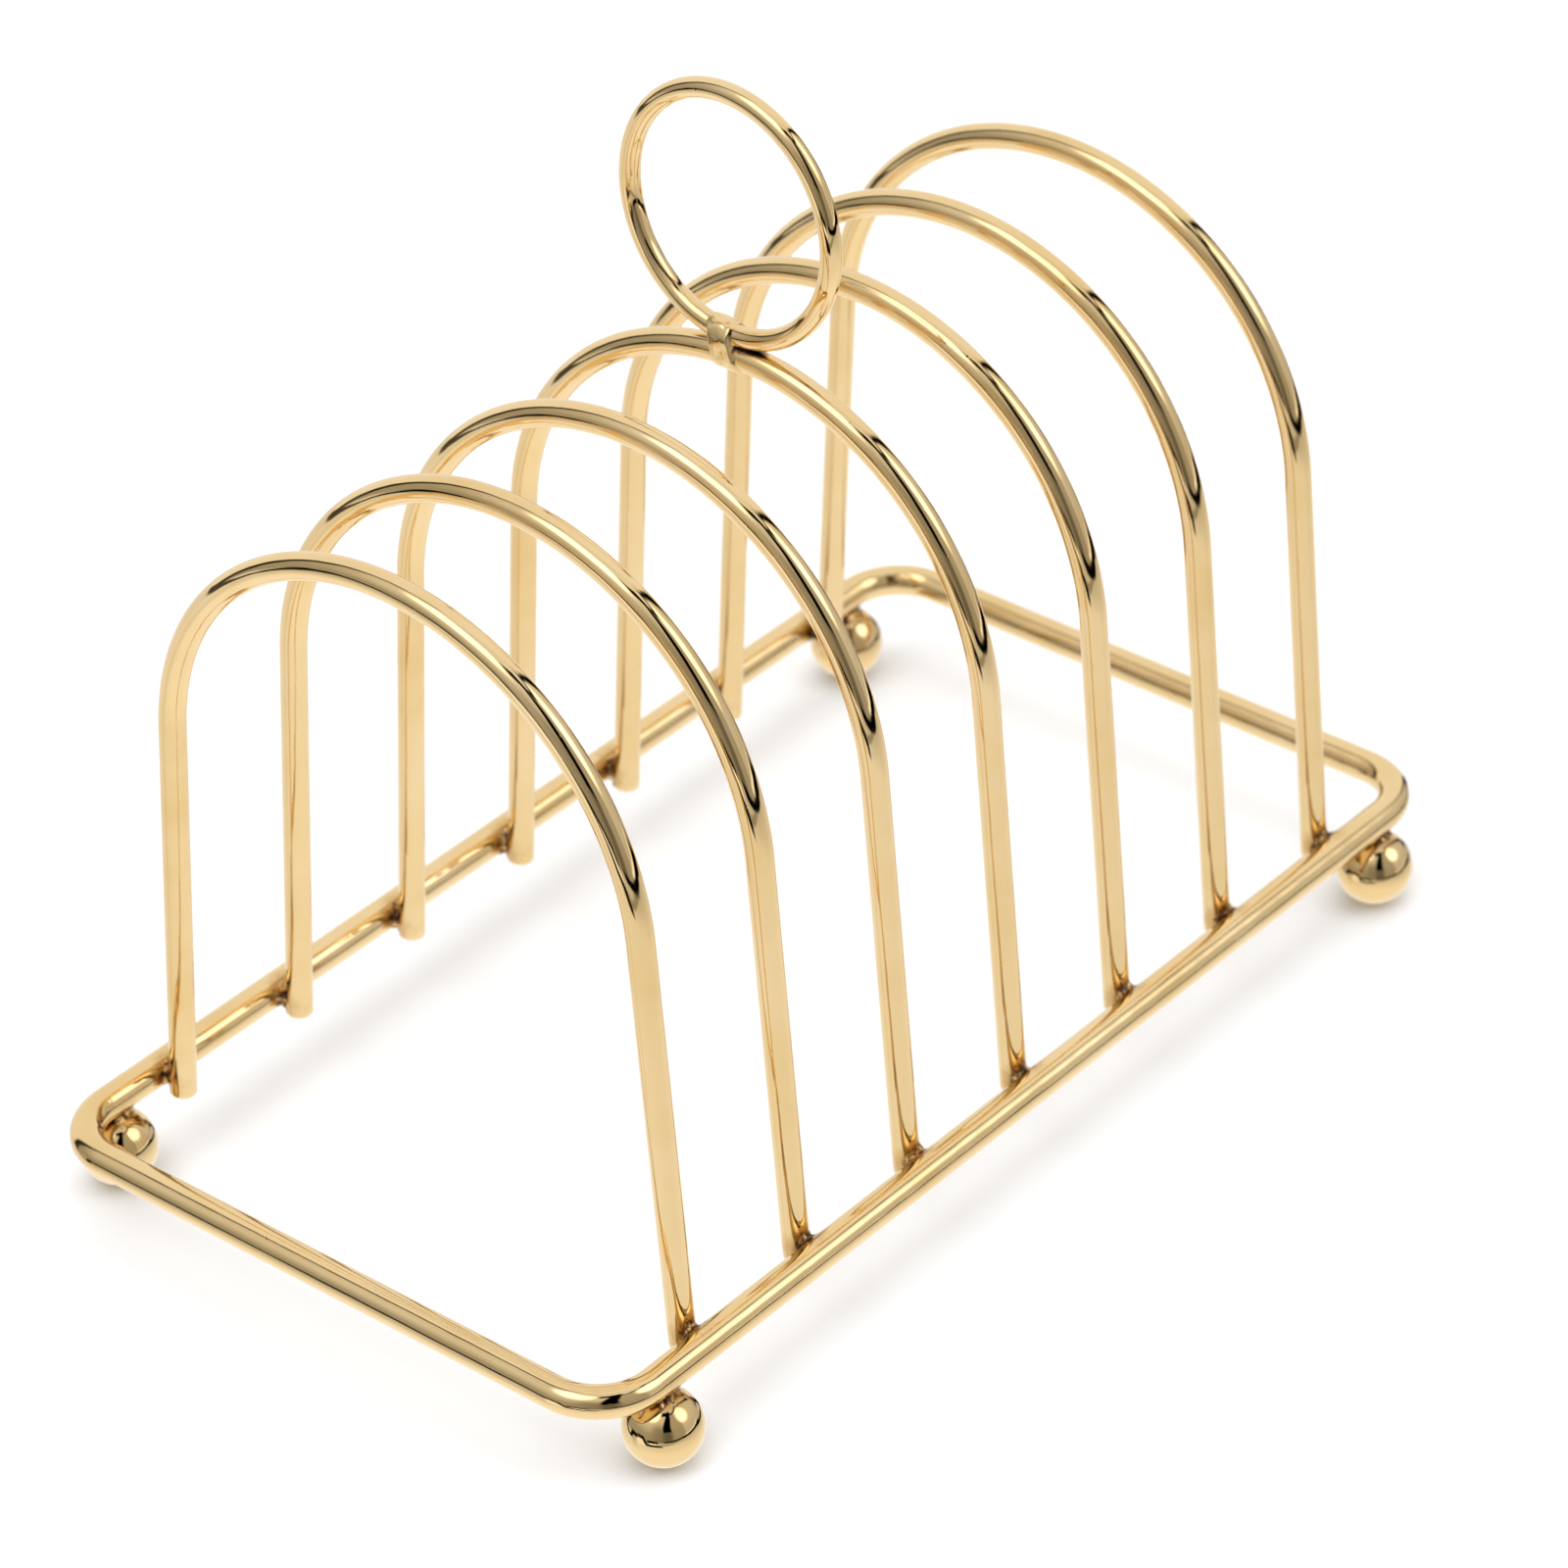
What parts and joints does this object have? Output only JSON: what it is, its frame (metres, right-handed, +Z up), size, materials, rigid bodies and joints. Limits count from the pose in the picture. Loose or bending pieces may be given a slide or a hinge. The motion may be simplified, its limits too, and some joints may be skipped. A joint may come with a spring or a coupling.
{
  "type": "toast rack",
  "caption": "Welded gold-finished wire toast rack: a rounded rectangular base wire on ball feet, a row of round-topped arches inside its long rails, and a ring handle on the middle arch.",
  "frame": {"origin": "on the table, under the centre of the base", "axes": "+Z up, +X along the row of arches towards the rear end, +Y across the rack towards the left rail"},
  "size_m": [0.1744, 0.1028, 0.1419],
  "materials": {
    "base_wire": "polished",
    "arch_wire": "polished",
    "handle_wire": "polished",
    "ball_foot": "polished",
    "weld_filler": "satin"
  },
  "bodies": {
    "root": {"base_frame": "base_wire", "arch_1": "arch_wire", "arch_2": "arch_wire", "arch_3": "arch_wire", "arch_4": "arch_wire", "arch_5": "arch_wire", "arch_6": "arch_wire", "arch_7": "arch_wire", "handle_ring": "handle_wire", "foot_ball_front_left": "ball_foot", "foot_ball_front_right": "ball_foot", "foot_ball_rear_left": "ball_foot", "foot_ball_rear_right": "ball_foot", "weld_arch_1_left": "weld_filler", "weld_arch_1_right": "weld_filler", "weld_arch_2_left": "weld_filler", "weld_arch_2_right": "weld_filler", "weld_arch_3_left": "weld_filler", "weld_arch_3_right": "weld_filler", "weld_arch_4_left": "weld_filler", "weld_arch_4_right": "weld_filler", "weld_arch_5_left": "weld_filler", "weld_arch_5_right": "weld_filler", "weld_arch_6_left": "weld_filler", "weld_arch_6_right": "weld_filler", "weld_arch_7_left": "weld_filler", "weld_arch_7_right": "weld_filler", "weld_foot_front_left": "weld_filler", "weld_foot_front_right": "weld_filler", "weld_foot_rear_left": "weld_filler", "weld_foot_rear_right": "weld_filler", "weld_handle": "weld_filler"}
  },
  "joints": []
}
